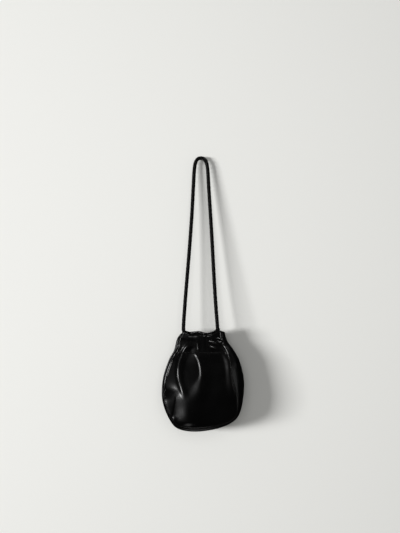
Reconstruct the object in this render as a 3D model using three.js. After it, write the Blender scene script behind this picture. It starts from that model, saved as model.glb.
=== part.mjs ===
// A drawstring shoulder pouch of soft black leather, hanging by its braided cord strap.
// Millimetres. The origin is the hanging point, in the middle of the strap's bight, +X is to the
// right seen from the front, the front faces -Y, and +Z is up.
import * as THREE from 'three';

// Driving dimensions
const LEATHER = 2; // thickness of every leather wall
const SEAM_GAP = 0.5; // clearance between two sewn edges
const HEM_GAP = 0.9; // clearance between a hem and its panel at the stitches
const CORD_DIAMETER = 7.6;
const CORD_PLAY = 0.8; // room between the cord and its tunnel
const BAG_CENTRE_Y = -42; // middle plane of the bag, which stands forward of the hanging point
const GUSSET_TURN = THREE.MathUtils.degToRad(84); // how far the gusset rolls round to a panel
const MITRE = THREE.MathUtils.degToRad(40); // slant of the wall's edge face at a seam
const STITCH_Z = -516; // height of the row of stitches that closes the tunnel
const EAR_DIP = 6; // how much the gusset's top edge sinks between its two seams
const EAR_SHARE = 0.05; // stretch of the girth, at each end, over which it sinks
const HEM_START = THREE.MathUtils.degToRad(100); // where the hem takes over the rolled rim
const HEM_DROPS = [0.13, 0.35, 0.65, 1]; // rows of the hem, as shares of the way to the stitches
const GATHERS = 8; // ruffles along each rim
const GATHER_LIFT = { rim: 1.4, stitch: 4, foot: 0 }; // how far they stand out
const GATHER_FOOT_Z = -575; // height where the gathers have run out
const GATHER_EVENNESS = 8; // a higher power keeps the gathers full nearer to the mouth's corners
const FOLD_RUN = 0.35; // share of a fold's half length over which it rises from the flat
const MITRE_REACH = { side: 6, bottom: 8 }; // a higher power keeps the mitre nearer to the seam

// Grid counts
const PANEL_COLUMNS = GATHERS * 4;
const PANEL_ROWS = 20;
const EXIT_COLUMNS = 7; // columns at each mouth corner without a hem, where the cord comes out
const GUSSET_STEPS = 6;
const ROLL_STEPS = 3;
const CORD_SIDES = 8;
const STRAP_STEPS = 78;
const TUNNEL_STEPS = 12;
const HALVINGS = 20; // rounds of the search for a height on a panel

// The gusset's middle line, which is the bag's outline seen from the front, from the left ear
// down round the bottom to the right ear. seam is how far inside it the panels' seams show,
// front and back how far those seams stand from the bag's middle plane.
const GIRTH = [
  { at: 'left ear', x: -55, z: -464, seam: 7, front: 15, back: 14 },
  { at: 'left neck', x: -65, z: -487, seam: 8, front: 19, back: 17 },
  { at: 'left stitch', x: -72, z: -514, seam: 8.5, front: 25, back: 24 },
  { at: 'left shoulder', x: -87, z: -543, seam: 9, front: 33, back: 30 },
  { at: 'left hip', x: -102, z: -592, seam: 9.5, front: 40, back: 35 },
  { at: 'left low', x: -103, z: -645, seam: 10.5, front: 42, back: 36 },
  { at: 'left corner', x: -86, z: -693, seam: 12.5, front: 42, back: 36 },
  { at: 'left foot', x: -62, z: -720.5, seam: 13.5, front: 41, back: 35 },
  { at: 'bottom', x: -15, z: -729, seam: 14, front: 39, back: 34 },
  { at: 'right foot', x: 42, z: -721.2, seam: 13.5, front: 39, back: 34 },
  { at: 'right corner', x: 83, z: -704, seam: 12, front: 41, back: 35 },
  { at: 'right turn', x: 103, z: -680, seam: 11.5, front: 42, back: 36 },
  { at: 'right low', x: 112.5, z: -640, seam: 16, front: 43, back: 36 },
  { at: 'right hip', x: 114.5, z: -592, seam: 26, front: 42, back: 35 },
  { at: 'right shoulder', x: 103, z: -543, seam: 27, front: 36, back: 30 },
  { at: 'right stitch', x: 87, z: -513, seam: 19, front: 27, back: 24 },
  { at: 'right neck', x: 69, z: -487, seam: 14, front: 19, back: 17 },
  { at: 'right ear', x: 63, z: -459, seam: 13, front: 15, back: 14 },
];
const LEFT_CORNER = 6 / (GIRTH.length - 1); // place of the panels' lower corners along the girth
const RIGHT_CORNER = 11 / (GIRTH.length - 1);

// How far the panels swell beyond their seams, from the bottom seam (up 0) to the rim (up 1).
const SWELL = [
  { up: 0, front: 0, back: 0 },
  { up: 0.125, front: 6, back: 11 },
  { up: 0.25, front: 9, back: 15 },
  { up: 0.375, front: 10, back: 16 },
  { up: 0.5, front: 9.5, back: 16 },
  { up: 0.625, front: 8, back: 14 },
  { up: 0.75, front: 5.5, back: 9 },
  { up: 0.875, front: 2.5, back: 4 },
  { up: 1, front: 0, back: 0 },
];
const SWELL_FULLNESS = { front: 1, back: 0.8 }; // a higher power is flatter at the side seams

// Middle of the cord inside each rim, between the mouth's corners, y from the middle plane.
const TUNNEL = {
  front: [
    { x: -30, y: -13, z: -476.5 },
    { x: -6, y: -19, z: -476 },
    { x: 15, y: -19, z: -479 },
    { x: 30, y: -14, z: -475.5 },
  ],
  back: [
    { x: -30, y: 12, z: -472.5 },
    { x: -6, y: 18, z: -471.5 },
    { x: 15, y: 18, z: -476 },
    { x: 30, y: 13, z: -472 },
  ],
};

// The left side of the front, which turns back from a ridge to the seam: where the two lie at a
// height, seen from the front, and how much further back the seam is.
const LEFT_SIDE = [
  { z: -480, ridge: -28, seam: -56, drop: 0 },
  { z: -502, ridge: -42, seam: -60.5, drop: 3 },
  { z: -524, ridge: -53, seam: -68, drop: 8 },
  { z: -543, ridge: -58.5, seam: -78, drop: 14 },
  { z: -558, ridge: -61, seam: -84, drop: 18 },
  { z: -575, ridge: -60.5, seam: -89, drop: 22 },
  { z: -592, ridge: -58, seam: -92.5, drop: 23 },
  { z: -602, ridge: -57.5, seam: -93, drop: 21 },
  { z: -619, ridge: -60, seam: -93, drop: 6 },
  { z: -632, ridge: -62, seam: -92, drop: 0 },
];
const LEFT_SIDE_EDGE = 0.15; // small where the ridge is sharp

// Folds of the front, each along a curve through three points seen from the front. lift is how
// far its crest stands out, or a dent sinks in; left and right are the widths of its two sides.
const FOLDS = [
  { at: 'almond left', top: [-38, -490], mid: [-61, -556], end: [-50, -622], lift: 4, left: 9, right: 10 },
  { at: 'almond right', top: [-15, -508], mid: [0, -566], end: [-18, -650], lift: 4, left: 8, right: 15 },
  { at: 'almond dent', top: [-22, -515], mid: [-30, -575], end: [-34, -645], lift: -2, left: 15, right: 15 },
  { at: 'left bulge', top: [-86, -612], mid: [-86, -650], end: [-76, -700], lift: 3, left: 9, right: 14 },
  { at: 'low crease', top: [-61, -612], mid: [-67, -650], end: [-76, -694], lift: -2.5, left: 6, right: 9 },
  { at: 'low swelling', top: [-34, -600], mid: [-34, -660], end: [-35, -712], lift: 5, left: 18, right: 20 },
  { at: 'right pleat', top: [66, -492], mid: [84, -524], end: [97, -560], lift: 3, left: 6, right: 6 },
  { at: 'right ridge', top: [52, -500], mid: [76, -564], end: [87, -645], lift: 6, left: 11, right: 5 },
  { at: 'middle dent', top: [22, -506], mid: [26, -558], end: [29, -630], lift: -3, left: 15, right: 17 },
];

// The free stretch of the cord, from the left exit over the hanging point to the right exit.
const STRAP_ROUTE = [
  [-30.7, -54.8, -476.5],
  [-36.5, -53.2, -476],
  [-42, -49.2, -472.6],
  [-45.5, -44.8, -464.5],
  [-46.6, -41.8, -450],
  [-43.2, -36.5, -396],
  [-38.2, -30.5, -332],
  [-33, -24.7, -268],
  [-28.2, -18.8, -204],
  [-24, -12.9, -140],
  [-20.8, -7, -76],
  [-18.4, -3, -33],
  [-15.2, -0.9, -10],
  [-8.6, 0, 1.2],
  [0, 0, 3.8],
  [8.6, 0, 1.2],
  [15.2, -0.9, -10],
  [18.6, -3, -33],
  [21, -7, -76],
  [24.9, -12.9, -140],
  [28.8, -18.8, -204],
  [32.2, -24.7, -268],
  [35.6, -30.5, -332],
  [39.6, -36.5, -396],
  [43.6, -41.4, -448],
  [43.4, -39.2, -460.5],
  [40.8, -35, -468],
  [36.3, -31.1, -471.4],
  [30.7, -29.2, -472],
];

const cordRadius = CORD_DIAMETER / 2;
const rollInside = cordRadius + CORD_PLAY;
const rollOutside = rollInside + LEATHER;

const leatherBlack = new THREE.MeshStandardMaterial({ color: 0x0c0c0d, roughness: 0.42 });
const cordBlack = new THREE.MeshStandardMaterial({ color: 0x0f0e0e, roughness: 0.5 });

const smooth = (t) => THREE.MathUtils.smoothstep(t, 0, 1);
const lerp = THREE.MathUtils.lerp;

// A curve through table rows that keeps to each row in turn.
function through(points) {
  return new THREE.CatmullRomCurve3(points, false, 'catmullrom', 0.5);
}

const girthLine = through(GIRTH.map((row) => new THREE.Vector3(row.x, 0, row.z)));
const girthSizes = through(GIRTH.map((row) => new THREE.Vector3(row.seam, row.front, row.back)));
const swellLine = through(SWELL.map((row) => new THREE.Vector3(row.up, row.front, row.back)));

// The girth at s, from 0 at the left ear to 1 at the right ear, with the way into the bag.
function girthAt(s) {
  const middle = girthLine.getPoint(s);
  const sizes = girthSizes.getPoint(s);
  const along = girthLine.getTangent(s);
  const inward = new THREE.Vector3(-along.z, 0, along.x).normalize();
  return { middle, inward, seam: sizes.x, front: sizes.y, back: sizes.z };
}

// Fold height at a point seen from the front.
function foldLift(x, z) {
  let lift = 0;
  for (const fold of FOLDS) {
    const [topX, topZ] = fold.top;
    const [midX, midZ] = fold.mid;
    const [endX, endZ] = fold.end;
    if (z > topZ || z < endZ) continue;
    const crestX =
      (topX * (z - midZ) * (z - endZ)) / ((topZ - midZ) * (topZ - endZ)) +
      (midX * (z - topZ) * (z - endZ)) / ((midZ - topZ) * (midZ - endZ)) +
      (endX * (z - topZ) * (z - midZ)) / ((endZ - topZ) * (endZ - midZ));
    const aside = x - crestX;
    const width = aside < 0 ? fold.left : fold.right;
    const runIn = smooth((topZ - z) / (FOLD_RUN * (topZ - midZ)));
    const runOut = smooth((z - endZ) / (FOLD_RUN * (midZ - endZ)));
    lift += fold.lift * runIn * runOut * Math.exp(-((aside / width) ** 2));
  }
  return lift;
}

// How far the left side of the front lies back at a point seen from the front.
function leftTurn(x, z) {
  const next = LEFT_SIDE.findIndex((row) => row.z <= z);
  if (next < 1) return 0;
  const [above, below] = [LEFT_SIDE[next - 1], LEFT_SIDE[next]];
  const down = (above.z - z) / (above.z - below.z);
  const ridge = lerp(above.ridge, below.ridge, down);
  const seam = lerp(above.seam, below.seam, down);
  const share = Math.min((ridge - x) / (ridge - seam), 1);
  return (lerp(above.drop, below.drop, down) * (share + Math.hypot(share, LEFT_SIDE_EDGE))) / 2;
}

// A point of the gusset's outside: t is -1 at the front seam, 0 in its middle, 1 at the back seam.
function gussetPoint(s, t) {
  const girth = girthAt(s);
  const edge = girth.middle.clone().addScaledVector(girth.inward, girth.seam);
  const front = girth.front - leftTurn(edge.x, edge.z);
  const turn = Math.abs(t) * GUSSET_TURN;
  const rolledIn = (girth.seam * (1 - Math.cos(turn))) / (1 - Math.cos(GUSSET_TURN));
  const reach = Math.sin(turn) / Math.sin(GUSSET_TURN);
  const point = girth.middle.clone().addScaledVector(girth.inward, rolledIn);
  point.y = BAG_CENTRE_Y + (t < 0 ? -front : girth.back) * reach;
  if (t < 0) point.y -= foldLift(point.x, point.z) * smooth(-t);
  const nearEar = 1 - smooth(Math.min(s, 1 - s) / EAR_SHARE);
  point.z -= EAR_DIP * nearEar * (1 - t * t);
  return point;
}

// The way from outside to inside through the gusset's wall.
function gussetInward(s, t) {
  const slant = Math.PI / 2 - (Math.PI / 2 - MITRE) * Math.abs(t);
  const inward = girthAt(s).inward.multiplyScalar(Math.sin(slant));
  inward.y = -Math.sign(t) * Math.cos(slant);
  return inward;
}

// A panel's sewn edge, a seam's gap away from the gusset's edge, before the front is folded.
function panelEdge(side, s) {
  const girth = girthAt(s);
  const edge = gussetPoint(s, side.sign).addScaledVector(girth.inward, SEAM_GAP);
  edge.y = BAG_CENTRE_Y + (side.sign < 0 ? -girth.front : girth.back);
  return edge;
}

// Ruffles across a panel, dying at the mouth's corners.
function gatherWave(p) {
  return (0.5 + 0.5 * Math.cos(Math.PI * GATHERS * p)) * (1 - p ** GATHER_EVENNESS);
}

// How far the ruffles stand out at a height, most at the stitches.
function gatherLift(p, z, rimZ) {
  if (z > STITCH_Z) {
    const down = smooth((rimZ - z) / (rimZ - STITCH_Z));
    return gatherWave(p) * lerp(GATHER_LIFT.rim, GATHER_LIFT.stitch, down);
  }
  const down = smooth((STITCH_Z - z) / (STITCH_Z - GATHER_FOOT_Z));
  return gatherWave(p) * lerp(GATHER_LIFT.stitch, GATHER_LIFT.foot, down);
}

// One side of the bag: its sign along Y, its swell and the line of its tunnel.
function makeSide(name, sign) {
  const side = { name, sign };
  const toTunnel = new THREE.Vector3(0, -sign * rollOutside, 0);
  const rows = TUNNEL[name].map((row) => new THREE.Vector3(row.x, BAG_CENTRE_Y + row.y, row.z));
  const leftEnd = panelEdge(side, 0).add(toTunnel);
  const rightEnd = panelEdge(side, 1).add(toTunnel);
  side.tunnel = through([leftEnd, ...rows, rightEnd]);
  side.swell = (up) => (sign < 0 ? swellLine.getPoint(up).y : swellLine.getPoint(up).z);
  side.fullness = SWELL_FULLNESS[name];
  return side;
}

const tunnelAt = (side, p) => side.tunnel.getPoint((p + 1) / 2);
const rimRow = (side, p) => tunnelAt(side, p).add(new THREE.Vector3(0, side.sign * rollOutside, 0));

// A panel's outside at p across, -1 to 1, and up from the bottom seam, 0, to the rim's roll, 1:
// a patch between the seams and the rim, swollen, gathered and folded.
function panelPoint(side, p, up) {
  const across = (p + 1) / 2;
  const left = panelEdge(side, LEFT_CORNER * (1 - up));
  const right = panelEdge(side, lerp(RIGHT_CORNER, 1, up));
  const bottom = panelEdge(side, lerp(LEFT_CORNER, RIGHT_CORNER, across));
  const rim = rimRow(side, p);
  const lowLeft = panelEdge(side, LEFT_CORNER);
  const lowRight = panelEdge(side, RIGHT_CORNER);
  const point = new THREE.Vector3()
    .addScaledVector(left, 1 - across)
    .addScaledVector(right, across)
    .addScaledVector(bottom, 1 - up)
    .addScaledVector(rim, up)
    .addScaledVector(lowLeft, -(1 - across) * (1 - up))
    .addScaledVector(lowRight, -across * (1 - up))
    .addScaledVector(rimRow(side, -1), -(1 - across) * up)
    .addScaledVector(rimRow(side, 1), -across * up);
  let outward = side.swell(up) * (1 - p * p) ** side.fullness;
  outward += gatherLift(p, point.z, rim.z);
  if (side.sign < 0) outward += foldLift(point.x, point.z) - leftTurn(point.x, point.z);
  point.y += side.sign * outward;
  return point;
}

// How far up a panel's column a height lies, found by halving.
function upAtHeight(side, p, z) {
  let [low, high] = [0, 1];
  for (let k = 0; k < HALVINGS; k++) {
    const half = (low + high) / 2;
    if (panelPoint(side, p, half).z < z) low = half;
    else high = half;
  }
  return low;
}

// The way from outside to inside through a panel's wall, mitred at its sewn edges.
function panelInward(side, p, up) {
  const across = (p + 1) / 2;
  const straight = new THREE.Vector3(0, -side.sign, 0);
  const nearSide = Math.abs(p) ** MITRE_REACH.side;
  const nearBottom = (1 - up) ** MITRE_REACH.bottom;
  if (nearBottom > nearSide) {
    const slanted = gussetInward(lerp(LEFT_CORNER, RIGHT_CORNER, across), side.sign);
    return straight.lerp(slanted, nearBottom).normalize();
  }
  const s = p < 0 ? LEFT_CORNER * (1 - up) : lerp(RIGHT_CORNER, 1, up);
  return straight.lerp(gussetInward(s, side.sign), nearSide).normalize();
}

// A closed leather wall between two grids of points, its outside and its inside.
function leatherWall(name, outside, inside) {
  const columns = outside.length;
  const rows = outside[0].length;
  const points = [...outside.flat(), ...inside.flat()];
  const out = (i, j) => i * rows + j;
  const inn = (i, j) => columns * rows + i * rows + j;
  const faces = [];
  const quad = (a, b, c, d) => faces.push(a, b, c, a, c, d);
  for (let i = 0; i < columns - 1; i++) {
    for (let j = 0; j < rows - 1; j++) {
      quad(out(i, j), out(i + 1, j), out(i + 1, j + 1), out(i, j + 1));
      quad(inn(i, j), inn(i, j + 1), inn(i + 1, j + 1), inn(i + 1, j));
    }
    quad(out(i, 0), inn(i, 0), inn(i + 1, 0), out(i + 1, 0));
    quad(out(i, rows - 1), out(i + 1, rows - 1), inn(i + 1, rows - 1), inn(i, rows - 1));
  }
  for (let j = 0; j < rows - 1; j++) {
    quad(out(0, j), out(0, j + 1), inn(0, j + 1), inn(0, j));
    quad(out(columns - 1, j), inn(columns - 1, j), inn(columns - 1, j + 1), out(columns - 1, j + 1));
  }
  let volume = 0;
  for (let f = 0; f < faces.length; f += 3) {
    const [a, b, c] = [points[faces[f]], points[faces[f + 1]], points[faces[f + 2]]];
    volume += a.dot(b.clone().cross(c));
  }
  if (volume < 0) faces.reverse();
  const geometry = new THREE.BufferGeometry().setFromPoints(points);
  geometry.setIndex(faces);
  geometry.computeVertexNormals();
  const mesh = new THREE.Mesh(geometry, leatherBlack);
  mesh.name = name;
  return mesh;
}

const steps = (count) => Array.from({ length: count + 1 }, (_, k) => k / count);

// A point on the roll of leather round the tunnel: turn 0 faces out, a quarter turn is the top.
function rollPoint(side, p, turn, radius) {
  const lifted = radius + GATHER_LIFT.rim * gatherWave(p);
  return tunnelAt(side, p).add(
    new THREE.Vector3(0, side.sign * lifted * Math.cos(turn), lifted * Math.sin(turn)),
  );
}

// A panel from its bottom seam up to the top of the rim's roll.
function makePanel(side) {
  const outside = [];
  const inside = [];
  for (const across of steps(PANEL_COLUMNS)) {
    const p = 2 * across - 1;
    const wallOut = steps(PANEL_ROWS).map((up) => panelPoint(side, p, up));
    const wallIn = wallOut.map((point, k) =>
      point.clone().addScaledVector(panelInward(side, p, k / PANEL_ROWS), LEATHER),
    );
    for (const share of steps(ROLL_STEPS).slice(1)) {
      wallOut.push(rollPoint(side, p, (share * Math.PI) / 2, rollOutside));
      wallIn.push(rollPoint(side, p, (share * Math.PI) / 2, rollInside));
    }
    outside.push(wallOut);
    inside.push(wallIn);
  }
  return leatherWall(`${side.name}_panel`, outside, inside);
}

// The hem turns down behind the rim's roll and lies along the panel as far as the stitches.
function makeHem(side) {
  const outside = [];
  const inside = [];
  for (const across of steps(PANEL_COLUMNS).slice(EXIT_COLUMNS, -EXIT_COLUMNS)) {
    const p = 2 * across - 1;
    const rimZ = rimRow(side, p).z;
    const turned = steps(ROLL_STEPS).map((share) => lerp(HEM_START, Math.PI, share));
    const layerOut = turned.map((turn) => rollPoint(side, p, turn, rollOutside));
    const layerIn = turned.map((turn) => rollPoint(side, p, turn, rollInside));
    const lastOut = layerOut[ROLL_STEPS];
    const lastIn = layerIn[ROLL_STEPS];
    for (const drop of HEM_DROPS) {
      const wall = panelPoint(side, p, upAtHeight(side, p, lerp(rimZ, STITCH_Z, drop)));
      const drawnIn = smooth((drop - HEM_DROPS[0]) / (HEM_DROPS[2] - HEM_DROPS[0]));
      const flatIn = wall.y - side.sign * (LEATHER + HEM_GAP);
      const flatOut = flatIn - side.sign * LEATHER;
      layerIn.push(new THREE.Vector3(wall.x, lerp(lastIn.y, flatIn, drawnIn), wall.z));
      layerOut.push(new THREE.Vector3(wall.x, lerp(lastOut.y, flatOut, drawnIn), wall.z));
    }
    outside.push(layerOut);
    inside.push(layerIn);
  }
  return leatherWall(`${side.name}_hem`, outside, inside);
}

// The gusset, one strip from the left ear down round the bottom to the right ear.
function makeGusset() {
  const places = [
    ...steps(PANEL_ROWS).map((k) => LEFT_CORNER * k),
    ...steps(PANEL_COLUMNS).slice(1).map((k) => lerp(LEFT_CORNER, RIGHT_CORNER, k)),
    ...steps(PANEL_ROWS).slice(1).map((k) => lerp(RIGHT_CORNER, 1, k)),
  ];
  const turns = steps(GUSSET_STEPS).map((k) => 2 * k - 1);
  const outside = places.map((s) => turns.map((t) => gussetPoint(s, t)));
  const inside = places.map((s, i) =>
    turns.map((t, j) => outside[i][j].clone().addScaledVector(gussetInward(s, t), LEATHER)),
  );
  return leatherWall('gusset', outside, inside);
}

// A round cord along a curve.
function makeCord(name, curve, stepCount) {
  const section = new THREE.Shape();
  for (let k = 0; k < CORD_SIDES; k++) {
    const turn = (2 * Math.PI * k) / CORD_SIDES;
    const [x, y] = [cordRadius * Math.cos(turn), cordRadius * Math.sin(turn)];
    if (k === 0) section.moveTo(x, y);
    else section.lineTo(x, y);
  }
  const geometry = new THREE.ExtrudeGeometry(section, { steps: stepCount, extrudePath: curve });
  const mesh = new THREE.Mesh(geometry, cordBlack);
  mesh.name = name;
  return mesh;
}

// The cord's end inside a rim, face to face with the strap at the exit on one side.
function makeTunnelCord(side) {
  const rows = TUNNEL[side.name].map((row) => new THREE.Vector3(row.x, BAG_CENTRE_Y + row.y, row.z));
  return makeCord(`tunnel_cord_${side.name}`, through(rows), TUNNEL_STEPS);
}

const front = makeSide('front', -1);
const back = makeSide('back', 1);
const strapCurve = through(STRAP_ROUTE.map(([x, y, z]) => new THREE.Vector3(x, y, z)));

const bag = new THREE.Group();
bag.name = 'drawstring_pouch';
bag.add(makePanel(front), makePanel(back), makeGusset());
bag.add(makeHem(front), makeHem(back));
bag.add(makeTunnelCord(front), makeTunnelCord(back));
bag.add(makeCord('strap_cord', strapCurve, STRAP_STEPS));

export default bag;
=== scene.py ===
import math

import bpy
import numpy as np
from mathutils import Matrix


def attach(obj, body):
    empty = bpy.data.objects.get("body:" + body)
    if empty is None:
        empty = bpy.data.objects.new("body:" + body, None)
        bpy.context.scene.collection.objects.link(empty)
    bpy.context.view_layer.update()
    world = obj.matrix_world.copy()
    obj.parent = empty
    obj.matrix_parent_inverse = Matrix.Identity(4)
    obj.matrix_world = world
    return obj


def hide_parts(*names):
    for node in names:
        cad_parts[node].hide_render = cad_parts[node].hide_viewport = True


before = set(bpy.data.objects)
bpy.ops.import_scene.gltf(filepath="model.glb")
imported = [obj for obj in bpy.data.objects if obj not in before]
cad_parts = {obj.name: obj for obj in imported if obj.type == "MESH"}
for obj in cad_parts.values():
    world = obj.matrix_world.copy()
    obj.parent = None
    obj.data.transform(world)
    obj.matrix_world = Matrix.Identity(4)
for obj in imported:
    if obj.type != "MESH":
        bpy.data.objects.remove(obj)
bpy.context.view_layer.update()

# Camera
# It stands level and straight in front of the bag, at the height of the middle of the picture,
# with the lens that gives the photograph's scale at the bag's outline.
BAG_CENTRE_Y = -0.042
CAMERA_X = -0.0027
CAMERA_Z = -0.291
CAMERA_DISTANCE = 2.0
CAMERA_LENS_MM = 50.7

camera = bpy.data.objects.new("camera", bpy.data.cameras.new("camera"))
camera.data.lens = CAMERA_LENS_MM
camera.location = (CAMERA_X, BAG_CENTRE_Y - CAMERA_DISTANCE, CAMERA_Z)
camera.rotation_euler = (math.radians(90), 0, 0)
bpy.context.scene.collection.objects.link(camera)
bpy.context.scene.camera = camera

# Braided cord
# One round braid of four black leather laces is both the strap and the drawstring. Its free stretch
# runs from the left exit over the hanging point to the right exit, and its ends lie in the rims.
CORD_DIAMETER = 0.0076
LACE_WIDTH = 0.0056
LACE_THICKNESS = 0.0025
LACE_SIDES = 12
LACE_CORNER = 0.75  # below 1, a fuller section than an oval
BRAID_PITCH = 0.025  # along the cord, for one turn of a lace
BRAID_STEPS = 26  # rings of a lace in one turn
BRAID_RADIUS = 0.0037  # from the cord's middle to the middle of a lace
BRAID_WEAVE = 0.00048  # how far a lace rises and dips as it passes over and under
CORE_RADIUS = 0.0038
ROUTE_STEPS = 60  # for each row, when a route is measured
STRAP_ROUTE = [
    (-0.0307, -0.0548, -0.4765),
    (-0.0365, -0.0532, -0.4760),
    (-0.0420, -0.0492, -0.4726),
    (-0.0455, -0.0448, -0.4645),
    (-0.0466, -0.0418, -0.4500),
    (-0.0432, -0.0365, -0.3960),
    (-0.0382, -0.0305, -0.3320),
    (-0.0330, -0.0247, -0.2680),
    (-0.0282, -0.0188, -0.2040),
    (-0.0240, -0.0129, -0.1400),
    (-0.0208, -0.0070, -0.0760),
    (-0.0184, -0.0030, -0.0330),
    (-0.0152, -0.0009, -0.0100),
    (-0.0086, 0.0000, 0.0012),
    (0.0000, 0.0000, 0.0038),
    (0.0086, 0.0000, 0.0012),
    (0.0152, -0.0009, -0.0100),
    (0.0186, -0.0030, -0.0330),
    (0.0210, -0.0070, -0.0760),
    (0.0249, -0.0129, -0.1400),
    (0.0288, -0.0188, -0.2040),
    (0.0322, -0.0247, -0.2680),
    (0.0356, -0.0305, -0.3320),
    (0.0396, -0.0365, -0.3960),
    (0.0436, -0.0414, -0.4480),
    (0.0434, -0.0392, -0.4605),
    (0.0408, -0.0350, -0.4680),
    (0.0363, -0.0311, -0.4714),
    (0.0307, -0.0292, -0.4720),
]
TUNNEL_ROUTES = {
    "front": [
        (-0.030, -0.055, -0.4765),
        (-0.006, -0.061, -0.4760),
        (0.015, -0.061, -0.4790),
        (0.030, -0.056, -0.4755),
    ],
    "back": [
        (-0.030, -0.030, -0.4725),
        (-0.006, -0.024, -0.4715),
        (0.015, -0.024, -0.4760),
        (0.030, -0.029, -0.4720),
    ],
}


def through(rows, place):
    """Points on the curve that keeps to each row in turn, at places from 0 to 1."""
    rows = np.asarray(rows, float)
    spans = len(rows) - 1
    at = np.clip(np.asarray(place, float), 0, 1) * spans
    span = np.minimum(at.astype(int), spans - 1)
    w = (at - span)[..., None]
    padded = np.vstack([2 * rows[0] - rows[1], rows, 2 * rows[-1] - rows[-2]])
    a, b, c, d = (padded[span + k] for k in range(4))
    bend = 2 * a - 5 * b + 4 * c - d
    twist = 3 * (b - c) + d - a
    return b + 0.5 * w * ((c - a) + w * (bend + w * twist))


def unit(vectors):
    """The same directions with a length of 1."""
    return vectors / np.linalg.norm(vectors, axis=-1, keepdims=True)


def evenly(rows, step):
    """The curve through the rows as points a step apart, and the way along to each."""
    fine = through(rows, np.linspace(0, 1, ROUTE_STEPS * len(rows)))
    run = np.append(0, np.cumsum(np.linalg.norm(np.diff(fine, axis=0), axis=1)))
    along = np.linspace(0, run[-1], round(run[-1] / step) + 1)
    return np.stack([np.interp(along, run, axis) for axis in fine.T], axis=1), along


def carried_frame(path):
    """Two directions across a path, carried along it without twist."""
    ahead = unit(np.gradient(path, axis=0))
    side = np.empty_like(path)
    last = np.array((0.0, 1.0, 0.0))
    for k, way in enumerate(ahead):
        last = last - (last @ way) * way
        last /= np.linalg.norm(last)
        side[k] = last
    return side, np.cross(ahead, side)


def grid_quads(columns, rows, first=0, wrap=False):
    """Faces of a grid of points held column by column, wrapped where its last row meets its first."""
    i, j = np.meshgrid(np.arange(columns - 1), np.arange(rows if wrap else rows - 1), indexing="ij")
    above = (j + 1) % rows
    corners = [i * rows + j, (i + 1) * rows + j, (i + 1) * rows + above, i * rows + above]
    return (first + np.stack([c.ravel() for c in corners], axis=1)).tolist()


def new_piece(name, points, faces, material):
    """A smooth mesh that rides on the bag."""
    mesh = bpy.data.meshes.new(name)
    mesh.from_pydata(np.asarray(points).tolist(), [], faces)
    mesh.materials.append(material)
    mesh.shade_smooth()
    piece = bpy.data.objects.new(name, mesh)
    bpy.context.scene.collection.objects.link(piece)
    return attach(piece, "root")


def tube(rings):
    """Points and faces of a tube from its rings, closed at both ends."""
    count, sides = rings.shape[:2]
    faces = grid_quads(count, sides, wrap=True)
    faces.append(list(range(sides))[::-1])
    faces.append(list(range((count - 1) * sides, count * sides)))
    return rings.reshape(-1, 3), faces


def joined(parts):
    """Several sets of points and faces as one set."""
    points, faces, first = [], [], 0
    for some_points, some_faces in parts:
        points.append(some_points)
        faces += [[first + corner for corner in face] for face in some_faces]
        first += len(some_points)
    return np.vstack(points), faces


def braid(rows):
    """Four laces woven over and under each other round a thin core."""
    path, along = evenly(rows, BRAID_PITCH / BRAID_STEPS)
    frames = np.hstack([path, *carried_frame(path)])
    around = np.linspace(0, 2 * np.pi, LACE_SIDES, endpoint=False)
    full = [np.sign(wave) * abs(wave) ** LACE_CORNER for wave in (np.cos(around), np.sin(around))]
    across, deep = full[0] * LACE_WIDTH / 2, full[1] * LACE_THICKNESS / 2
    turn = 2 * np.pi * along / BRAID_PITCH
    slant = math.atan(2 * np.pi * BRAID_RADIUS / BRAID_PITCH)

    def wrapped(place, bearing, radius):
        found = np.stack([np.interp(place, along, column) for column in frames.T], axis=-1)
        side = np.cos(bearing)[..., None] * found[..., 3:6]
        over = np.sin(bearing)[..., None] * found[..., 6:9]
        return found[..., 0:3] + radius[..., None] * (side + over)

    parts = []
    for hand in (1, -1):
        for start in (0, np.pi):
            middle = (BRAID_RADIUS + hand * BRAID_WEAVE * np.cos(2 * turn))[:, None]
            place = along[:, None] - hand * across * math.sin(slant)
            bearing = (hand * turn + start)[:, None] + across * math.cos(slant) / middle
            parts.append(tube(wrapped(place, bearing, middle + deep)))
    bearing = np.broadcast_to(around, (len(along), LACE_SIDES))
    place = np.broadcast_to(along[:, None], bearing.shape)
    parts.append(tube(wrapped(place, bearing, np.full(bearing.shape, CORE_RADIUS))))
    return joined(parts)


def node(material, kind, **sockets):
    """A shader node with its inputs set, each to a value or to another node's output."""
    made = material.node_tree.nodes.new(kind)
    for name, value in sockets.items():
        socket = made.inputs[name.replace("_", " ")]
        if isinstance(value, bpy.types.NodeSocket):
            material.node_tree.links.new(value, socket)
        else:
            socket.default_value = value
    return made


def blend_range(material, value, low, high):
    """A value from 0 to 1 spread over low to high."""
    spread = node(material, "ShaderNodeMapRange", Value=value, To_Min=low, To_Max=high)
    return spread.outputs["Result"]


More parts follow.
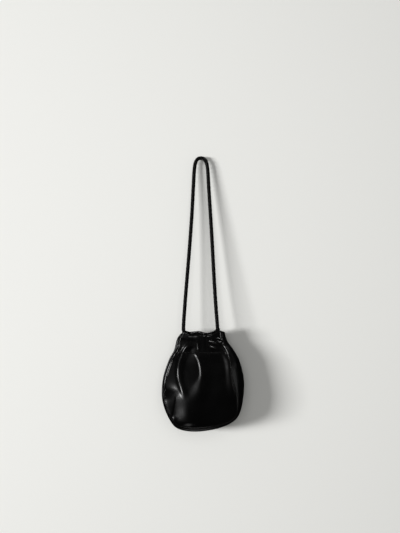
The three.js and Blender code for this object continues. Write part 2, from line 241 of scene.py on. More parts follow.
def lace_leather():
    """Narrow laces cut from black leather, satin on the face."""
    material = bpy.data.materials.new("lace_leather")
    material.use_nodes = True
    shader = material.node_tree.nodes["Principled BSDF"]
    link = material.node_tree.links.new
    where = node(material, "ShaderNodeTexCoord").outputs["Object"]
    fibre = node(material, "ShaderNodeTexNoise", Vector=where, Scale=1800.0, Detail=3.0)
    patch = node(material, "ShaderNodeTexNoise", Vector=where, Scale=45.0, Detail=2.0)
    tint = node(material, "ShaderNodeValToRGB", Fac=patch.outputs["Fac"])
    tint.color_ramp.elements[0].color = (0.0010, 0.0010, 0.0010, 1)
    tint.color_ramp.elements[1].color = (0.0030, 0.0028, 0.0027, 1)
    link(tint.outputs["Color"], shader.inputs["Base Color"])
    link(blend_range(material, patch.outputs["Fac"], low=0.42, high=0.56), shader.inputs["Roughness"])
    shader.inputs["Specular IOR Level"].default_value = 0.24
    bump = node(material, "ShaderNodeBump", Strength=0.25, Distance=0.0002, Height=fibre.outputs["Fac"])
    link(bump.outputs["Normal"], shader.inputs["Normal"])
    return material


laces = lace_leather()
strap = new_piece("braided_strap", *braid(STRAP_ROUTE), laces)
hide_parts("strap_cord")
for side_name, route in TUNNEL_ROUTES.items():
    cord_end = new_piece(f"braid_in_{side_name}_rim", *braid(route), laces)
    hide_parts(f"tunnel_cord_{side_name}")

# Gusset
# One strip of soft black leather from the left ear down round the bottom to the right ear. It is sewn
# to both panels with turned seams, whose edges roll in and leave a fine groove.
LEATHER = 0.002
SEAM_GAP = 0.0002
SEAM_LIP = 0.0036  # how far from a seam the leather starts to roll in
SEAM_DEPTH = 0.0014  # how deep it rolls
SEAM_ROUND = 0.98  # nearly 1, it rolls through almost a quarter round
SEAM_TAPER = 0.35  # share of the leather's thickness that is left at a pared edge
WORN_BEND = 250  # bend at which a crest is fully rubbed, as one over its radius in metres
BAG_CENTRE_Z = -0.61
GUSSET_TURN = math.radians(84)  # how far its section turns from its middle to a seam
EAR_DIP = 0.006  # how far an ear's middle lies below its corners
EAR_SHARE = 0.05  # share of the girth over which that dip runs out
GUSSET_COLUMNS = 420
GUSSET_ROWS = 72
ROW_CROWDING = 0.42  # towards a half, the rows lie closer together at the seams
# The gusset's middle line is the bag's outline seen from the front. inside is how far within it the seams
# show, and front and back are how far they stand from the bag's middle plane.
GIRTH = np.array([
    # x, z, inside, front, back
    (-0.0550, -0.4640, 0.0070, 0.015, 0.014),  # left ear
    (-0.0650, -0.4870, 0.0080, 0.019, 0.017),  # left neck
    (-0.0720, -0.5140, 0.0085, 0.025, 0.024),  # left stitch
    (-0.0870, -0.5430, 0.0090, 0.033, 0.030),  # left shoulder
    (-0.1020, -0.5920, 0.0095, 0.040, 0.035),  # left hip
    (-0.1030, -0.6450, 0.0105, 0.042, 0.036),  # left low
    (-0.0860, -0.6930, 0.0125, 0.042, 0.036),  # left corner
    (-0.0620, -0.7205, 0.0135, 0.041, 0.035),  # left foot
    (-0.0150, -0.7290, 0.0140, 0.039, 0.034),  # bottom
    (0.0420, -0.7212, 0.0135, 0.039, 0.034),  # right foot
    (0.0830, -0.7040, 0.0120, 0.041, 0.035),  # right corner
    (0.1030, -0.6800, 0.0115, 0.042, 0.036),  # right turn
    (0.1125, -0.6400, 0.0185, 0.043, 0.036),  # right low
    (0.1145, -0.5920, 0.0300, 0.042, 0.035),  # right hip
    (0.1030, -0.5430, 0.0270, 0.036, 0.030),  # right shoulder
    (0.0870, -0.5130, 0.0190, 0.027, 0.024),  # right stitch
    (0.0690, -0.4870, 0.0140, 0.019, 0.017),  # right neck
    (0.0630, -0.4590, 0.0130, 0.015, 0.014),  # right ear
])
LEFT_CORNER = 6 / (len(GIRTH) - 1)  # places along the girth where the panels' lower corners are sewn
RIGHT_CORNER = 11 / (len(GIRTH) - 1)
MM = 0.001  # a millimetre in metres
# The left side of the front, in millimetres. At each height z it turns back from a ridge to the seam,
# and the seam lies further back by the drop.
LEFT_SIDE = [
    # z, ridge x, seam x, drop
    (-480, -26, -56, 0),
    (-502, -39.5, -60.5, 0.5),
    (-510, -44.5, -63, 2.5),
    (-518, -49, -66, 8.5),
    (-526, -53, -69, 12.5),
    (-534, -56, -73, 14.5),
    (-545, -59, -79, 16.5),
    (-558, -61, -84, 19),
    (-575, -61, -89, 22),
    (-590, -59, -92, 24),
    (-600, -56, -93, 24),
    (-612, -51, -93, 19.8),
    (-624, -47, -92.5, 10.6),
    (-636, -44.5, -91, 2.6),
    (-648, -44, -89, 0.4),
    (-662, -44, -85, 0),
    (-700, -44, -72, 0),
]
LEFT_SIDE_EDGE = 0.15  # small where the ridge is sharp
LEFT_SIDE_STEPS = 120
# Folds and dents of the front, in millimetres, each along a crest of points (x, z). lift is how far the
# crest stands out, and left and right are the widths of its sides: one value, or two for the top and the
# end. edge is small where crest and foot are sharp. runs are the stretches where it rises and sinks back.
FOLDS = {
    "left side of the almond": dict(
        crest=[(-26, -484), (-34, -495), (-45, -511), (-54, -527), (-61.5, -560), (-58.5, -590),
               (-47.5, -621), (-40, -640)],
        lift=(4.5, 2.5), left=6, right=(15, 12), edge=0.25, runs=(20, 26),
    ),
    "right side of the almond": dict(
        crest=[(-17, -514), (-6, -534), (0, -557), (1, -580), (-2, -600), (-8, -625), (-20, -660)],
        lift=(2.1, 6), left=(4, 20), right=20, edge=0.35, runs=(14, 60),
    ),
    "dent between them": dict(
        crest=[(-22, -525), (-29, -570), (-33, -650)],
        lift=-1.4, left=22, right=22, edge=0.8, runs=(40, 50),
    ),
    "flat of the left neck": dict(
        crest=[(-58, -478), (-61, -495), (-68, -524)],
        lift=(6, 4), left=8, right=(45, 20), edge=0.4, runs=(12, 24),
    ),
    "bulge along the left seam": dict(
        crest=[(-92, -606), (-92, -640), (-87, -670), (-77, -704)],
        lift=3.5, left=10, right=(17, 14), edge=0.4, runs=(40, 24),
    ),
    "dimple above the crease": dict(
        crest=[(-66, -578), (-64, -600), (-63, -630)],
        lift=-1.8, left=13, right=9, edge=0.5, runs=(25, 20),
    ),
    "crease below the dimple": dict(
        crest=[(-62, -618), (-67, -650), (-76, -694)],
        lift=-1.2, left=4, right=24, edge=0.3, runs=(25, 20),
    ),
    "low swelling beside the crease": dict(
        crest=[(-34, -600), (-34, -660), (-35, -712)],
        lift=(3.4, 8.6), left=26, right=30, edge=0.4, runs=(45, 20),
    ),
    "pucker at the foot of the crease": dict(
        crest=[(-69, -678), (-71, -690), (-74, -704)],
        lift=1.5, left=4, right=6, edge=0.5, runs=(10, 8),
    ),
    "pleat outside the right seam": dict(
        crest=[(66, -488), (80, -515), (92, -540), (99, -565)],
        lift=2.5, left=4, right=6, edge=0.3, runs=(20, 25),
    ),
    "ridge inside the right seam": dict(
        crest=[(52, -495), (69, -530), (74, -552), (80, -593), (85, -620), (88, -650)],
        lift=5, left=(9, 12), right=5, edge=0.4, runs=(45, 60),
    ),
    "roll beside the right seam": dict(
        crest=[(58.5, -490), (73, -522), (80, -552), (86.5, -594), (96, -637), (95, -672)],
        lift=2, left=3.5, right=12, edge=0.35, runs=(20, 25),
    ),
    "shallow dent of the middle": dict(
        crest=[(22, -500), (26, -555), (30, -640)],
        lift=-3, left=22, right=24, edge=1.0, runs=(45, 60),
    ),
    "short tuck in the rim": dict(
        crest=[(-9, -487), (-8, -500), (-7, -514)],
        lift=0.8, left=2.2, right=6, edge=0.3, runs=(8, 8),
    ),
    "upper slanting tuck": dict(
        crest=[(19, -486), (28, -491), (40, -498)],
        lift=2.4, left=4.5, right=9, edge=0.3, runs=(4, 4),
    ),
    "lower slanting tuck": dict(
        crest=[(20, -499), (29, -504), (38, -510)],
        lift=2.4, left=4.5, right=9, edge=0.3, runs=(4, 4),
    ),
    "upper curl at the right ear": dict(
        crest=[(36, -478), (50, -483), (57, -489)],
        lift=2.6, left=5, right=8, edge=0.3, runs=(4, 4),
    ),
    "lower curl at the right ear": dict(
        crest=[(40, -487), (52, -493), (60, -500)],
        lift=2.6, left=5, right=8, edge=0.3, runs=(4, 4),
    ),
}
FOLD_CHANGE = (0.36, 0.76)  # shares of a fold's height between which its sizes change
CREST_STEPS = 60


def smooth(share):
    """An eased step from 0 to 1."""
    share = np.clip(share, 0, 1)
    return share * share * (3 - 2 * share)


def fold_lift(x, z):
    """How far the folds stand out at points seen from the front."""
    lift = np.zeros_like(x)
    change_start, change_end = FOLD_CHANGE
    for fold in FOLDS.values():
        crest = MM * through(fold["crest"], np.linspace(0, 1, CREST_STEPS))
        top, end = crest[0, 1], crest[-1, 1]
        aside = (x - np.interp(z, crest[::-1, 1], crest[::-1, 0])) / MM
        changed = smooth(((top - z) / (top - end) - change_start) / (change_end - change_start))
        pairs = (np.broadcast_to(fold[key], 2) for key in ("lift", "left", "right"))
        size, left, right = (at_top + (at_end - at_top) * changed for at_top, at_end in pairs)
        flank = 1 + fold["edge"] - np.hypot(aside / np.where(aside < 0, left, right), fold["edge"])
        rise, sink = fold["runs"]
        shown = smooth((top - z) / (MM * rise)) * smooth((z - end) / (MM * sink))
        lift += MM * size * shown * (flank + np.hypot(flank, fold["edge"])) / 2
    return lift


def left_turn(x, z):
    """How far the left side of the front lies back at points seen from the front."""
    rows = MM * through(LEFT_SIDE, np.linspace(0, 1, LEFT_SIDE_STEPS))[::-1]
    ridge, seam, drop = (np.interp(z, rows[:, 0], rows[:, k]) for k in (1, 2, 3))
    share = (ridge - x) / (ridge - seam)
    return drop * (share + np.hypot(share, LEFT_SIDE_EDGE)) / 2


def girth_at(s):
    """Middle line, way into the bag and sizes of the girth, from the left ear, 0, to the right, 1."""
    rows = through(GIRTH, s)
    nudge = 1e-4
    way = unit(through(GIRTH, s + nudge)[..., :2] - through(GIRTH, s - nudge)[..., :2])
    middle = np.stack([rows[..., 0], np.zeros_like(s), rows[..., 1]], axis=-1)
    inward = np.stack([-way[..., 1], np.zeros_like(s), way[..., 0]], axis=-1)
    return middle, inward, rows[..., 2], rows[..., 3], rows[..., 4]


def gusset_point(s, t, turned=True):
    """The gusset's outside: t is -1 at the front seam, 0 in its middle and 1 at the back seam."""
    middle, inward, seam, front, back = girth_at(s)
    if turned:
        edge = middle + inward * seam[..., None]
        front = front - left_turn(edge[..., 0], edge[..., 2])
    turn = abs(t) * GUSSET_TURN
    rolled_in = seam * (1 - np.cos(turn)) / (1 - math.cos(GUSSET_TURN))
    point = middle + inward * rolled_in[..., None]
    reach = np.where(t < 0, -front, back) * np.sin(turn) / math.sin(GUSSET_TURN)
    point[..., 1] = BAG_CENTRE_Y + reach
    near_ear = 1 - smooth(np.minimum(s, 1 - s) / EAR_SHARE)
    point[..., 2] -= EAR_DIP * near_ear * (1 - t * t)
    return point


def runs(grid, axis):
    """The way along a grid's lines from their first points, and back from their last."""
    steps = np.linalg.norm(np.diff(grid, axis=axis), axis=-1)
    first = np.insert(np.cumsum(steps, axis=axis), 0, 0, axis=axis)
    return first, np.take(first, [-1], axis=axis) - first


def outward_normals(grid):
    """Normals of a grid on the bag's outside, pointing away from its middle."""
    normals = unit(np.cross(np.gradient(grid, axis=0), np.gradient(grid, axis=1)))
    centre = np.array((0, BAG_CENTRE_Y, BAG_CENTRE_Z))
    return normals * np.sign(np.mean(np.sum(normals * (grid - centre), axis=-1)))


def rolled_edges(grid, from_seam):
    """The grid with its seam edges rolled in, like leather turned into a seam."""
    near = 1 - np.clip(from_seam / SEAM_LIP, 0, 1)
    depth = SEAM_DEPTH * (1 - np.sqrt(1 - SEAM_ROUND * near * near))
    return grid - outward_normals(grid) * depth[..., None]


def pared(from_seam):
    """The leather's thickness, pared thin towards its seams."""
    return LEATHER * (SEAM_TAPER + (1 - SEAM_TAPER) * smooth(from_seam / SEAM_LIP))


def crest_share(grid, normals):
    """From 0 on flat leather to 1 along the crests that rub and shine."""
    bend = 0
    for axis in (0, 1):
        step = np.linalg.norm(np.gradient(grid, axis=axis), axis=-1, keepdims=True)
        second = np.gradient(np.gradient(grid, axis=axis), axis=axis) / step**2
        bend = bend - np.sum(second * normals, axis=-1)
    return np.clip(bend / WORN_BEND, 0, 1)


def leather_shell(name, grid, normals, thickness, material):
    """A closed wall of leather behind an outer grid, with its crests marked for wear."""
    columns, rows = grid.shape[:2]
    inside = grid - normals * thickness[..., None]
    points = np.vstack([grid.reshape(-1, 3), inside.reshape(-1, 3)])
    half = columns * rows
    faces = grid_quads(columns, rows)
    faces += [face[::-1] for face in grid_quads(columns, rows, first=half)]
    rim = [i * rows for i in range(columns)]
    rim += [(columns - 1) * rows + j for j in range(1, rows)]
    rim += [i * rows + rows - 1 for i in range(columns - 2, -1, -1)]
    rim += list(range(rows - 2, 0, -1))
    for a, b in zip(rim, rim[1:] + rim[:1]):
        faces.append([b, a, a + half, b + half])
    corners = np.array(faces)
    diagonal = points[corners[:, 2]] - points[corners[:, 0]]
    other_diagonal = points[corners[:, 3]] - points[corners[:, 1]]
    if np.sum(np.cross(diagonal, other_diagonal) * points[corners[:, 0]]) < 0:
        faces = [face[::-1] for face in faces]
    piece = new_piece(name, points, faces, material)
    crest = piece.data.attributes.new("crest", "FLOAT", "POINT")
    share = crest_share(grid, normals).ravel()
    crest.data.foreach_set("value", np.append(share, np.zeros(half)).astype(np.float32))
    return piece


def bag_leather():
    """Smooth black leather with a fine grain, a soft gloss and polished crests."""
    material = bpy.data.materials.new("bag_leather")
    material.use_nodes = True
    shader = material.node_tree.nodes["Principled BSDF"]
    link = material.node_tree.links.new
    where = node(material, "ShaderNodeTexCoord").outputs["Object"]
    crest = node(material, "ShaderNodeAttribute")
    crest.attribute_name = "crest"
    grain = node(material, "ShaderNodeTexVoronoi", Vector=where, Scale=950.0, Randomness=1.0)
    pores = node(material, "ShaderNodeTexNoise", Vector=where, Scale=2600.0, Detail=2.0)
    creases = node(material, "ShaderNodeTexNoise", Vector=where, Scale=170.0, Detail=4.0)
    patch = node(material, "ShaderNodeTexNoise", Vector=where, Scale=28.0, Detail=3.0)
    tint = node(material, "ShaderNodeValToRGB", Fac=patch.outputs["Fac"])
    tint.color_ramp.elements[0].color = (0.0006, 0.0006, 0.0007, 1)
    tint.color_ramp.elements[1].color = (0.0015, 0.0014, 0.0014, 1)
    worn = node(material, "ShaderNodeMix", Factor=crest.outputs["Fac"])
    worn.data_type = "RGBA"
    link(tint.outputs["Color"], worn.inputs["A"])
    worn.inputs["B"].default_value = (0.005, 0.0047, 0.0045, 1)
    link(worn.outputs["Result"], shader.inputs["Base Color"])
    dull = blend_range(material, patch.outputs["Fac"], low=0.26, high=0.34)
    rubbed = node(material, "ShaderNodeMath", Value=dull)
    rubbed.operation = "SUBTRACT"
    link(blend_range(material, crest.outputs["Fac"], low=0.0, high=0.02), rubbed.inputs[1])
    link(rubbed.outputs["Value"], shader.inputs["Roughness"])
    shader.inputs["Specular IOR Level"].default_value = 0.8
    height = node(material, "ShaderNodeMath", Value=grain.outputs["Distance"])
    link(pores.outputs["Fac"], height.inputs[1])
    fine = node(material, "ShaderNodeBump", Strength=0.16, Distance=0.0002, Height=height.outputs["Value"])
    soft = node(material, "ShaderNodeBump", Strength=0.14, Distance=0.0004, Height=creases.outputs["Fac"])
    link(fine.outputs["Normal"], soft.inputs["Normal"])
    link(soft.outputs["Normal"], shader.inputs["Normal"])
    return material


leather = bag_leather()
s = np.linspace(0, 1, GUSSET_COLUMNS)[:, None] + np.zeros(GUSSET_ROWS)
crowded = np.sin(np.linspace(-ROW_CROWDING, ROW_CROWDING, GUSSET_ROWS) * np.pi)
t = crowded / math.sin(ROW_CROWDING * np.pi) + np.zeros((GUSSET_COLUMNS, 1))
gusset_grid = gusset_point(s, t)
gusset_grid[..., 1] -= fold_lift(gusset_grid[..., 0], gusset_grid[..., 2]) * smooth(-t)
from_front, from_back = runs(gusset_grid, 1)
from_left, from_right = runs(gusset_grid, 0)
from_seam = np.minimum(np.minimum(from_front, from_back), np.minimum(from_left, from_right))
gusset_grid = rolled_edges(gusset_grid, from_seam)
normals = outward_normals(gusset_grid)
gusset = leather_shell("leather_gusset", gusset_grid, normals, pared(from_seam), leather)
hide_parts("gusset")

# Front and back panels
# Each panel is one piece of the same leather, sewn into the gusset at its sides and bottom. At the top
# it is gathered on the cord and rolled over it, and a row of stitches closes the tunnel.
STITCH_Z = -0.516
STITCH_GROOVE = 0.0009
STITCH_GROOVE_WIDTH = 0.0022
CORD_PLAY = 0.0008
ROLL_OUTSIDE = CORD_DIAMETER / 2 + CORD_PLAY + LEATHER
ROLL_END = math.radians(112)  # how far the leather turns over the cord
PANEL_COLUMNS = 321
PANEL_ROWS = 130
ROLL_ROWS = 16
COLUMN_CROWDING = 0.2  # above 0, the columns lie closer together at the side seams
GATHERS = 8
GATHER_LIFT = dict(rim=0.0004, stitch=0.0005, foot=0.0)  # how far the ruffles stand out
GATHER_FOOT_Z = -0.555  # where they run out, below the stitches
GATHER_EVENNESS = 8  # a higher power keeps them full nearer to the ears
GATHER_SIZE = 0.8  # of a ruffle on average, as a share of the lift
GATHER_ROUND = 0.12  # larger where the leather between two ruffles is less tight
GATHER_FINE_RISE = 0.012  # height above the stitches at which the fine ruffles are full
# Waves that make the ruffles uneven, with how fast they run across the rim and up it
GATHER_WAVES = dict(
    # size, across, up, start, shift between front and back
    slow_wander=(0.040, 7.1, 0, 0, 1.3),
    quick_wander=(0.012, 13.7, 40, 0, 1),
    slow_size=(0.2, 9.3, 0, 0.7, 1),
    quick_size=(0.12, 21, 0, 0, -1),
    fine=(0.10, 61, 90, 0, 0),
    foot=(0.018, 8.7, 0, 0, 1),
)
SWELL = dict(front=0.010, back=0.016)  # how far a panel stands out beyond its seams
SWELL_HEIGHT = 0.4  # where it is fullest, as a share of its height
SWELL_RISE = 0.6  # a lower power fills the bottom more
SWELL_FULLNESS = dict(front=1.0, back=0.8)  # a higher power is flatter at the side seams
SIDE_SIGN = dict(front=-1, back=1)


def panel_edge(side, s):
    """A panel's sewn edge, a seam's gap away from the gusset's edge."""
    sign = np.full_like(s, SIDE_SIGN[side])
    return gusset_point(s, sign, turned=False) + SEAM_GAP * girth_at(s)[1]


def tunnel_at(side, p):
    """The middle of the tunnel across the mouth, from the left ear, -1, to the right ear, 1."""
    to_tunnel = np.array((0, -SIDE_SIGN[side] * ROLL_OUTSIDE, 0))
    ends = panel_edge(side, np.array((0.0, 1.0))) + to_tunnel
    return through([ends[0], *TUNNEL_ROUTES[side], ends[1]], (p + 1) / 2)


def ripple(name, side, p, z):
    """One of the waves at places across the rim and at heights."""
    size, across, up, start, shift = GATHER_WAVES[name]
    return size * np.sin(across * p + up * z + start + shift * SIDE_SIGN[side])


def gather_wave(side, p, z):
    """Uneven ruffles, round on their crests and tight between them."""
    wander = ripple("slow_wander", side, p, z) + ripple("quick_wander", side, p, z)
    wave = np.hypot(np.cos(np.pi * GATHERS / 2 * (p + wander)), GATHER_ROUND)
    size = GATHER_SIZE + ripple("slow_size", side, p, z) + ripple("quick_size", side, p, z)
    fine = ripple("fine", side, p, z) * smooth((z - STITCH_Z) / GATHER_FINE_RISE)
    return (size * wave + fine) * (1 - p**GATHER_EVENNESS)


def gather_lift(side, p, z, rim_z):
    """How far the ruffles stand out, most at the stitches, running out below them."""
    above = smooth((rim_z - z) / (rim_z - STITCH_Z))
    lift = GATHER_LIFT["rim"] + above * (GATHER_LIFT["stitch"] - GATHER_LIFT["rim"])
    foot = GATHER_FOOT_Z + ripple("foot", side, p, z)
    below = smooth((STITCH_Z - z) / (STITCH_Z - foot))
    lift = lift + below * (GATHER_LIFT["foot"] - lift)
    pinch = np.exp(-(((z - STITCH_Z) / STITCH_GROOVE_WIDTH) ** 2))
    return gather_wave(side, p, z) * lift - STITCH_GROOVE * pinch * (1 - p**GATHER_EVENNESS)


def panel_wall(side, p, up):
    """A panel's outside from the bottom seam, up 0, to the foot of the rim's roll, up 1."""
    sign = SIDE_SIGN[side]
    across = ((p + 1) / 2)[..., None]
    raised = up[..., None]
    left = panel_edge(side, LEFT_CORNER * (1 - up))
    right = panel_edge(side, RIGHT_CORNER + (1 - RIGHT_CORNER) * up)
    bottom = panel_edge(side, LEFT_CORNER + (RIGHT_CORNER - LEFT_CORNER) * across[..., 0])
    out = np.array((0, sign * ROLL_OUTSIDE, 0))
    rim = tunnel_at(side, p) + out
    rim_left, rim_right = tunnel_at(side, np.array((-1.0, 1.0))) + out
    low_left, low_right = panel_edge(side, np.array((LEFT_CORNER, RIGHT_CORNER)))
    point = left * (1 - across) + right * across + bottom * (1 - raised) + rim * raised
    point -= (low_left * (1 - across) + low_right * across) * (1 - raised)
    point -= (rim_left * (1 - across) + rim_right * across) * raised
    fall = SWELL_RISE * (1 - SWELL_HEIGHT) / SWELL_HEIGHT
    fullest = SWELL_HEIGHT**SWELL_RISE * (1 - SWELL_HEIGHT) ** fall
    outward = SWELL[side] * up**SWELL_RISE * (1 - up) ** fall / fullest
    outward = outward * (1 - p * p) ** SWELL_FULLNESS[side]
    outward = outward + gather_lift(side, p, point[..., 2], rim[..., 2])
    if side == "front":
        x, z = point[..., 0], point[..., 2]
        outward = outward + fold_lift(x, z) - left_turn(x, z)
    point[..., 1] += sign * outward
    return point


def rim_roll(side, p, turn, radius):
    """The roll of leather over the cord: turn 0 faces out, and a quarter turn is the top."""
    middle = tunnel_at(side, p)
    lifted = radius + GATHER_LIFT["rim"] * gather_wave(side, p, middle[..., 2])
    middle[..., 1] += SIDE_SIGN[side] * lifted * np.cos(turn)
    middle[..., 2] += lifted * np.sin(turn)
    return middle


def panel_grid(side):
    """A panel's outside with its rolled rim, and how far each point lies from a seam."""
    spread = np.linspace(-1, 1, PANEL_COLUMNS)
    crowded = (1 - COLUMN_CROWDING) * spread + COLUMN_CROWDING * np.sin(spread * np.pi / 2)
    p = crowded[:, None]
    up = np.linspace(0, 1, PANEL_ROWS)
    turn = np.linspace(0, ROLL_END, ROLL_ROWS)[1:]
    wall = panel_wall(side, p + 0 * up, up + 0 * p)
    roll = rim_roll(side, p + 0 * turn, turn + 0 * p, ROLL_OUTSIDE)
    grid = np.concatenate([wall, roll], axis=1)
    from_left, from_right = runs(grid, 0)
    from_seam = np.minimum(np.minimum(from_left, from_right), runs(grid, 1)[0])
    return rolled_edges(grid, from_seam), from_seam


panel_grids = {}
for side_name in SIDE_SIGN:
    panel_grids[side_name], from_seam = panel_grid(side_name)
    normals = outward_normals(panel_grids[side_name])
    panel = leather_shell(f"leather_{side_name}", panel_grids[side_name], normals, pared(from_seam), leather)
    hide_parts(f"{side_name}_panel")

# Hems
# Inside each rim the same leather turns down behind the cord and lies against the panel as far as the
# stitches that hold it. It stops short of the mouth's corners, where the cord comes out.
HEM_GAP = 0.0009
HEM_COLUMNS = 141
HEM_ROWS = 26
HEM_REACH = 0.5625  # share of the rim, from its middle, that has a hem
HEM_START = math.radians(108)  # where its roll takes over from the panel's
HEM_SETTLE = 0.5  # share of the way down at which the hem lies flat on the panel
HEM_WALL_FOOT = 0.6  # share of the panel's height, well below the hem, down to which it is followed
HEM_WALL_ROWS = 120


def hem_grid(side):
    """A hem's face towards the inside of the bag, from the rim down to the stitches."""
    sign = SIDE_SIGN[side]
    p = np.linspace(-HEM_REACH, HEM_REACH, HEM_COLUMNS)[:, None]
    turn = np.linspace(HEM_START, np.pi, ROLL_ROWS)
    roll = rim_roll(side, p + 0 * turn, turn + 0 * p, ROLL_OUTSIDE)
    up = np.linspace(1, HEM_WALL_FOOT, HEM_WALL_ROWS)
    wall = panel_wall(side, p + 0 * up, up + 0 * p)
    down = np.linspace(0, 1, HEM_ROWS)[1:]
    last = roll[:, -1]
    layer = np.empty((HEM_COLUMNS, len(down), 3))
    for i, column in enumerate(wall):
        z = last[i, 2] + (STITCH_Z - last[i, 2]) * down
        order = np.argsort(column[:, 2])
        x, y = (np.interp(z, column[order, 2], column[order, k]) for k in (0, 1))
        flat = y - sign * (2 * LEATHER + HEM_GAP)
        y = last[i, 1] + (flat - last[i, 1]) * smooth(down / HEM_SETTLE)
        layer[i] = np.stack([x, y, z], axis=1)
    return np.concatenate([roll, layer], axis=1)


for side_name in SIDE_SIGN:
    grid = hem_grid(side_name)
    normals = unit(np.cross(np.gradient(grid, axis=0), np.gradient(grid, axis=1)))
    normals *= np.sign(np.mean(-SIDE_SIGN[side_name] * normals[..., 1]))
    thickness = np.full(grid.shape[:2], LEATHER)
    hem = leather_shell(f"turned_hem_{side_name}", grid, normals, thickness, leather)
    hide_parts(f"{side_name}_hem")

# Stitches
# A row of black thread on each panel, below the rim, goes through panel and hem and closes the
# tunnel. Each stitch lies in the groove that it pulls, with its ends in their holes.
STITCH_PITCH = 0.0036
STITCH_LENGTH = 0.0027
THREAD_RADIUS = 0.00036
STITCH_RINGS = 7
STITCH_SIDES = 8
STITCH_REACH = 0.90  # share of the panel's width, from its middle
STITCH_RISE = 1.1  # of a stitch's middle above the leather, in radii of the thread
STITCH_DIP = 2.2  # of its ends below its middle


def waxed_thread():
    """Twisted black thread with a soft shine."""
    material = bpy.data.materials.new("waxed_thread")
    material.use_nodes = True
    shader = material.node_tree.nodes["Principled BSDF"]
    where = node(material, "ShaderNodeTexCoord").outputs["Object"]
    ply = node(material, "ShaderNodeTexNoise", Vector=where, Scale=5200.0, Detail=2.0)
    bump = node(material, "ShaderNodeBump", Strength=0.4, Distance=0.0001, Height=ply.outputs["Fac"])
    link = material.node_tree.links.new
    link(blend_range(material, ply.outputs["Fac"], low=0.32, high=0.55), shader.inputs["Roughness"])
    link(bump.outputs["Normal"], shader.inputs["Normal"])
    shader.inputs["Base Color"].default_value = (0.012, 0.011, 0.011, 1)
    shader.inputs["Specular IOR Level"].default_value = 1.0
    return material


def stitch_row(side):
    """Stitches along a panel at the height of the row, as one mesh."""
    grid = panel_grids[side]
    normals = outward_normals(grid)
    wall = slice(PANEL_ROWS // 2, PANEL_ROWS)
    line, facing = [], []
    for column, normal in zip(grid[:, wall], normals[:, wall]):
        order = np.argsort(column[:, 2])
        line.append([np.interp(STITCH_Z, column[order, 2], column[order, k]) for k in range(3)])
        facing.append([np.interp(STITCH_Z, column[order, 2], normal[order, k]) for k in range(3)])
    line, facing = np.array(line), np.array(facing)
    run = runs(line, 0)[0]
    margin = (1 - STITCH_REACH) / 2 * run[-1]
    around = np.linspace(0, 2 * np.pi, STITCH_SIDES, endpoint=False)
    share = np.linspace(-1, 1, STITCH_RINGS)
    parts = []
    for middle in np.arange(margin, run[-1] - margin, STITCH_PITCH):
        along = middle + share * STITCH_LENGTH / 2
        at = np.stack([np.interp(along, run, axis) for axis in line.T], axis=1)
        out = unit(np.stack([np.interp(along, run, axis) for axis in facing.T], axis=1))
        rise = THREAD_RADIUS * (STITCH_RISE - STITCH_DIP * share**4)
        at = at + out * rise[:, None]
        ahead = unit(np.gradient(at, axis=0))
        over = unit(np.cross(ahead, out))
        round_out = np.sin(around)[:, None] * out[:, None] + np.cos(around)[:, None] * over[:, None]
        parts.append(tube(at[:, None] + THREAD_RADIUS * round_out))
    return joined(parts)


thread = waxed_thread()
for side_name in SIDE_SIGN:
    stitches = new_piece(f"stitches_{side_name}", *stitch_row(side_name), thread)

# Floor, backdrop and light
# A plain pale floor far below, and a plain pale backdrop close behind the bag that shows only from
# the front. The main soft light stands far off on the left, with weak ones for edges and back.
FLOOR_Z = -2.4
BACKDROP_Y = 0.0125
STAGE_REACH = 4.0
SQUARE = [(-1, -1), (1, -1), (1, 1), (-1, 1)]
PALE = (0.80, 0.80, 0.775, 1)
LIGHT_AIM_Z = -0.6
# Lights, with angles in degrees, lengths in metres and powers in watts. A bearing turns to the left of the
# camera's side. The fill lights everything, and the others only the stage, the whole bag or its back.
FILL = ("fill", 0, 14, 2.2, 1.5, 1.5, 11)
LIGHTS = dict(
    # name, bearing, height, distance, width, tall, power
    stage=[("backdrop_key", 53, 3, 9.0, 3.4, 1.6, 870)],
    bag=[
        ("key", 50, 4, 9.0, 1.8, 2.3, 350),
        ("high", 50, 30, 5.0, 0.8, 0.8, 2.5),
        ("low", 50, -22, 5.0, 0.8, 0.8, 9),
        ("edge", 138, 8, 2.5, 0.4, 0.9, 1.4),
        ("top", -55, 62, 3.0, 0.5, 0.5, 9),
        ("right", -60, 8, 3.0, 0.8, 0.8, 1.3),
        ("foot", 180, -78, 2.0, 0.5, 0.5, 1.2),
    ],
    back=[
        ("back", 180, 50, 2.5, 1.2, 1.2, 2.5),
        ("back_key", 222, 12, 5.0, 1.0, 1.3, 55),
        ("back_top", 165, 40, 4.0, 1.0, 0.8, 15),
    ],
)
# The room as it is seen behind the bag, as it lights it and as the gloss mirrors it
ROOM_LIGHT = dict(seen=0.80, diffuse=0.18, reflected=0.005)
ROOM_COLOUR = (1, 1, 0.97, 1)


def pale_finish(name, one_sided):
    """Matt pale paint, left out where it is seen from behind if it is one-sided."""
    material = bpy.data.materials.new(name)
    material.use_nodes = True
    shader = material.node_tree.nodes["Principled BSDF"]
    shader.inputs["Base Color"].default_value = PALE
    shader.inputs["Roughness"].default_value = 0.9
    shader.inputs["Specular IOR Level"].default_value = 0.1
    if one_sided:
        behind = node(material, "ShaderNodeNewGeometry").outputs["Backfacing"]
        clear = node(material, "ShaderNodeBsdfTransparent").outputs["BSDF"]
        shown = node(material, "ShaderNodeMixShader", Fac=behind)
        link = material.node_tree.links.new
        link(shader.outputs["BSDF"], shown.inputs[1])
        link(clear, shown.inputs[2])
        link(shown.outputs["Shader"], material.node_tree.nodes["Material Output"].inputs["Surface"])
    return material


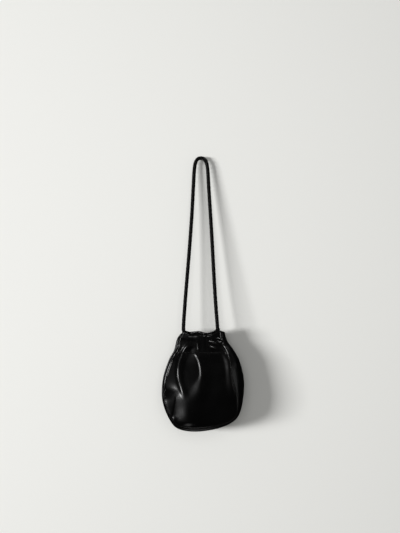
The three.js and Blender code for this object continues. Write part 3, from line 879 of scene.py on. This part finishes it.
def stage_plane(name, corners, material):
    """A flat piece of the stage, which isn't part of the bag."""
    mesh = bpy.data.meshes.new(name)
    mesh.from_pydata(corners, [], [(0, 1, 2, 3)])
    mesh.materials.append(material)
    plane = bpy.data.objects.new(name, mesh)
    bpy.context.scene.collection.objects.link(plane)
    return plane


def soft_light(name, bearing, height, distance, width, tall, power):
    """An area light aimed at the bag."""
    light = bpy.data.lights.new(name, "AREA")
    light.shape = "RECTANGLE"
    light.size, light.size_y = width, tall
    light.energy = power
    lamp = bpy.data.objects.new(name, light)
    bpy.context.scene.collection.objects.link(lamp)
    turn, rise = math.radians(bearing), math.radians(height)
    away = np.array((-math.sin(turn) * math.cos(rise), -math.cos(turn) * math.cos(rise), math.sin(rise)))
    lamp.location = np.array((0, BAG_CENTRE_Y, LIGHT_AIM_Z)) + distance * away
    lamp.rotation_euler = (math.radians(90 - height), 0, math.radians(-bearing))
    return lamp


floor_corners = [(STAGE_REACH * a, STAGE_REACH * b, FLOOR_Z) for a, b in SQUARE]
floor = stage_plane("floor", floor_corners, pale_finish("pale_floor", one_sided=False))
backdrop_z = {-1: FLOOR_Z, 1: STAGE_REACH}
backdrop_corners = [(STAGE_REACH * a, BACKDROP_Y, backdrop_z[b]) for a, b in SQUARE]
backdrop = stage_plane("backdrop", backdrop_corners, pale_finish("pale_backdrop", one_sided=True))
backdrop.visible_shadow = False
backdrop.visible_glossy = False
floor.visible_glossy = False
floor.visible_diffuse = False

soft_light(*FILL).visible_glossy = False
stage = (floor, backdrop)
lit_by = dict(
    stage=stage,
    bag=[piece for piece in bpy.context.scene.objects if piece.type == "MESH" and piece not in stage],
    back=[bpy.data.objects[name] for name in ("leather_back", "stitches_back")],
)
for group_name, lamps in LIGHTS.items():
    group = bpy.data.collections.new(f"lit_{group_name}")
    for lit_object in lit_by[group_name]:
        group.objects.link(lit_object)
    for lamp in lamps:
        soft_light(*lamp).light_linking.receiver_collection = group

world = bpy.data.worlds.new("studio")
bpy.context.scene.world = world
world.use_nodes = True
room = world.node_tree.nodes["Background"]
ray = node(world, "ShaderNodeLightPath").outputs
lit = node(
    world, "ShaderNodeMix",
    Factor=ray["Is Glossy Ray"], A=ROOM_LIGHT["diffuse"], B=ROOM_LIGHT["reflected"],
)
strength = node(
    world, "ShaderNodeMix",
    Factor=ray["Is Camera Ray"], A=lit.outputs["Result"], B=ROOM_LIGHT["seen"],
)
world.node_tree.links.new(strength.outputs["Result"], room.inputs["Strength"])
room.inputs["Color"].default_value = ROOM_COLOUR
bpy.context.scene.view_settings.view_transform = "Standard"
